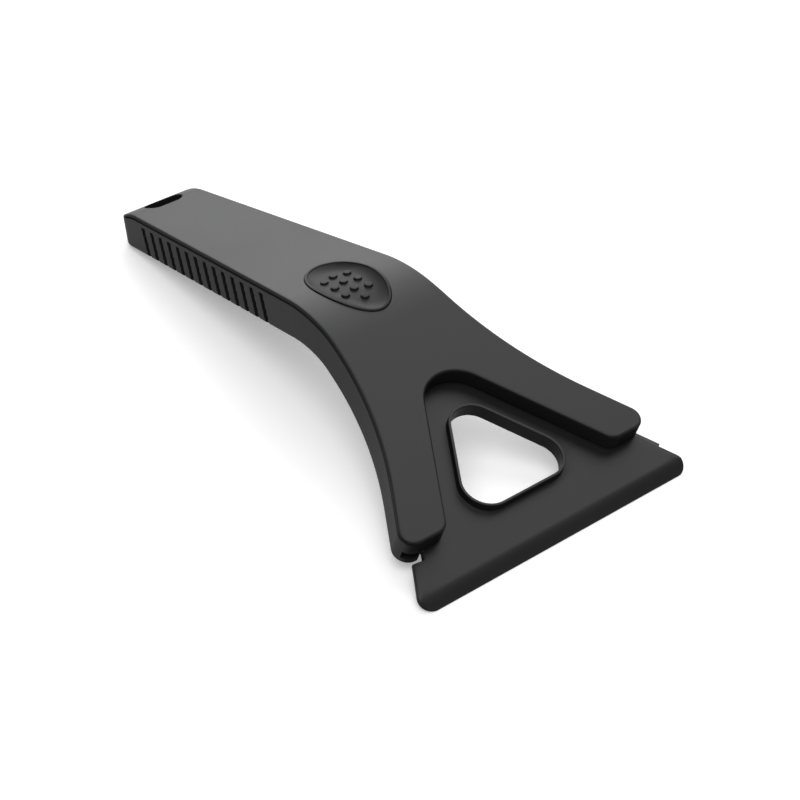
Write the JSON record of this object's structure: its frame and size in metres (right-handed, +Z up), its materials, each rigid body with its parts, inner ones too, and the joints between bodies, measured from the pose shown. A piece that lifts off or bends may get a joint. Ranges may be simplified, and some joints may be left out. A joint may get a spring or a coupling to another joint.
{
  "type": "ice scraper",
  "caption": "Hand ice scraper: a cranked two-shell grip with a thumb pad and forked arms that hold a removable three-sided scraper plate",
  "frame": {"origin": "centre of the footprint, on the surface the scraper lies on", "axes": "+Z is up. The tool points along -Y: the plate's straight scraping edge touches the surface at the low Y end, and the heel of the grip touches it at the high Y end. +X is the side of the plate with the soft wiper strip, -X the side with the teeth. The plane X = 0 halves the tool"},
  "size_m": [0.105, 0.2143, 0.0378],
  "materials": {
    "plate_plastic": "satin black moulded plastic, fine even grain",
    "soft_strip": "dull dark grey soft strip",
    "cover_plastic": "matt black moulded plastic, fine spark-eroded grain",
    "shell_plastic": "matt black moulded plastic, fine spark-eroded grain",
    "pad_plastic": "matt black moulded insert, slightly smoother than the cover",
    "screw_steel": "zinc plated steel"
  },
  "bodies": {
    "blade": {"scraper_plate": "plate_plastic", "wiper_strip": "soft_strip"},
    "handle": {"top_cover": "cover_plastic", "lower_shell": "shell_plastic", "thumb_pad": "pad_plastic", "cover_screws": "screw_steel"}
  },
  "joints": [
    {"name": "plate_release", "type": "slide", "parent": "blade", "child": "handle", "axis": [0, 0.9515, 0.3077], "range_m": [0, 0.08]}
  ]
}
